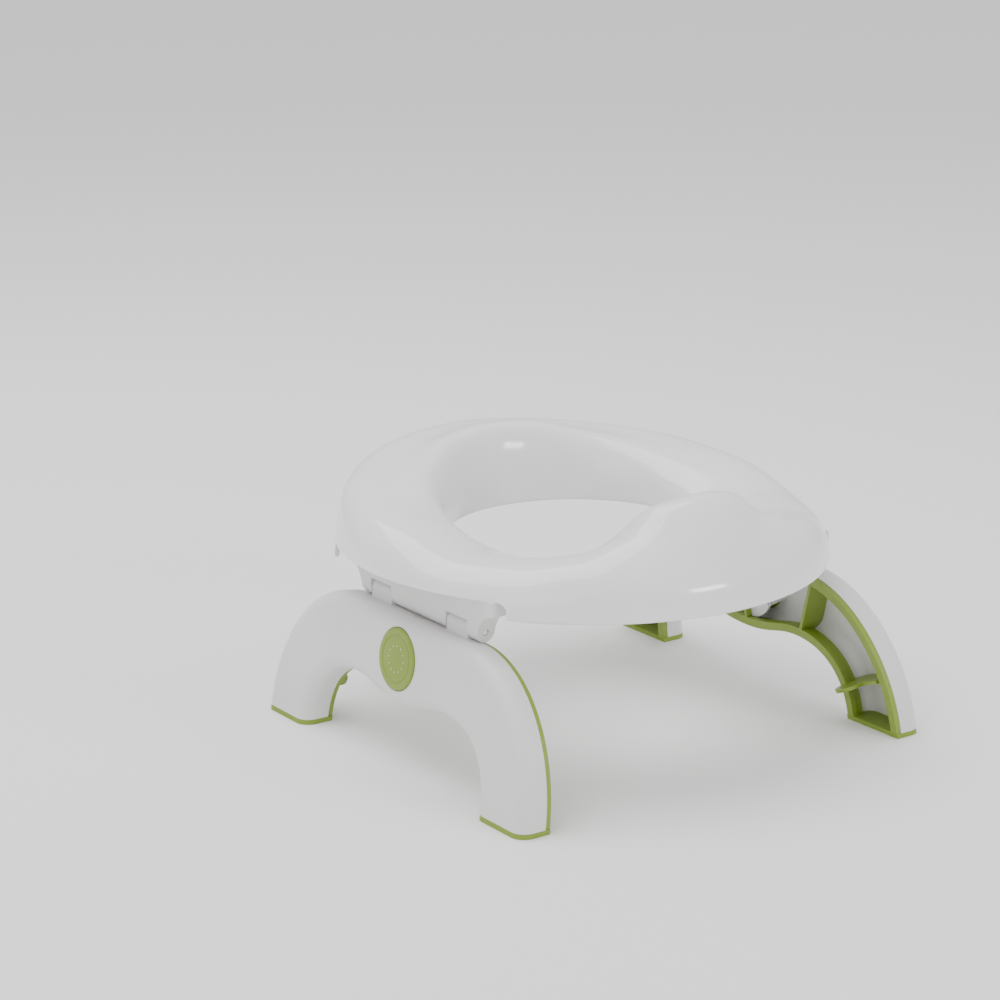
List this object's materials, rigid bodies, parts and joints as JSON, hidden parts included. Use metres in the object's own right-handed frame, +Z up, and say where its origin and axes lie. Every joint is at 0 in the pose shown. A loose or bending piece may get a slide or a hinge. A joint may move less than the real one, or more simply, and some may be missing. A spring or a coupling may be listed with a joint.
{
  "type": "folding travel potty seat",
  "caption": "Folding travel potty: a contoured ring seat with a splash guard on two hinged arch-shaped leg units that stand, fold under or swing out flat.",
  "frame": {"origin": "on the floor, under the middle of the seat ring", "axes": "+Z up, splash guard towards -Y, leg units at -X and +X"},
  "size_m": [0.3054, 0.3163, 0.1719],
  "materials": {
    "gloss_white": "high-gloss moulded polypropylene",
    "satin_white": "satin moulded plastic",
    "green": "satin lime-olive plastic",
    "green_grip": "soft thermoplastic rubber",
    "acetal": "natural acetal",
    "steel": "plain steel"
  },
  "bodies": {
    "seat": {"seat_shell": "gloss_white", "seat_base": "satin_white", "seat_screws": "steel", "housing_screws": "steel", "left_hinge_housing": "satin_white", "right_hinge_housing": "satin_white", "left_hinge_pin": "steel", "right_hinge_pin": "steel"},
    "left_leg": {"left_leg_shell": "satin_white", "left_leg_frame": "green", "left_front_foot_pad": "green_grip", "left_rear_foot_pad": "green_grip", "left_button_guide": "satin_white", "left_guide_screws": "steel", "left_button_spring": "steel"},
    "left_button": {"left_release_button": "green"},
    "left_bolt": {"left_lock_bolt": "acetal"},
    "right_leg": {"right_leg_shell": "satin_white", "right_leg_frame": "green", "right_front_foot_pad": "green_grip", "right_rear_foot_pad": "green_grip", "right_button_guide": "satin_white", "right_guide_screws": "steel", "right_button_spring": "steel"},
    "right_button": {"right_release_button": "green"},
    "right_bolt": {"right_lock_bolt": "acetal"}
  },
  "joints": [
    {"name": "left_leg_hinge", "type": "hinge", "parent": "seat", "child": "left_leg", "pos_m": [-0.121, -0.0095, 0.0975], "axis": [0, 1, 0], "range_deg": [-98.46, 81.54]},
    {"name": "left_button_press", "type": "slide", "parent": "left_leg", "child": "left_button", "axis": [0.9891, 0, -0.1471], "range_m": [0, 0.003], "stiffness_N_per_m": 600, "springref_m": -0.0015, "deforming": ["left_button_spring"]},
    {"name": "left_bolt_slide", "type": "slide", "parent": "left_leg", "child": "left_bolt", "axis": [-0.1471, 0, -0.9891], "range_m": [0, 0.0025]},
    {"name": "right_leg_hinge", "type": "hinge", "parent": "seat", "child": "right_leg", "pos_m": [0.121, -0.0095, 0.0975], "axis": [0, -1, 0], "range_deg": [-98.46, 81.54]},
    {"name": "right_button_press", "type": "slide", "parent": "right_leg", "child": "right_button", "axis": [-0.9891, 0, -0.1471], "range_m": [0, 0.003], "stiffness_N_per_m": 600, "springref_m": -0.0015, "deforming": ["right_button_spring"]},
    {"name": "right_bolt_slide", "type": "slide", "parent": "right_leg", "child": "right_bolt", "axis": [0.1471, 0, -0.9891], "range_m": [0, 0.0025]}
  ],
  "couplings": [
    {"joint": "left_bolt_slide", "follows": "left_button_press", "ratio": 0.8333},
    {"joint": "right_bolt_slide", "follows": "right_button_press", "ratio": 0.8333}
  ]
}
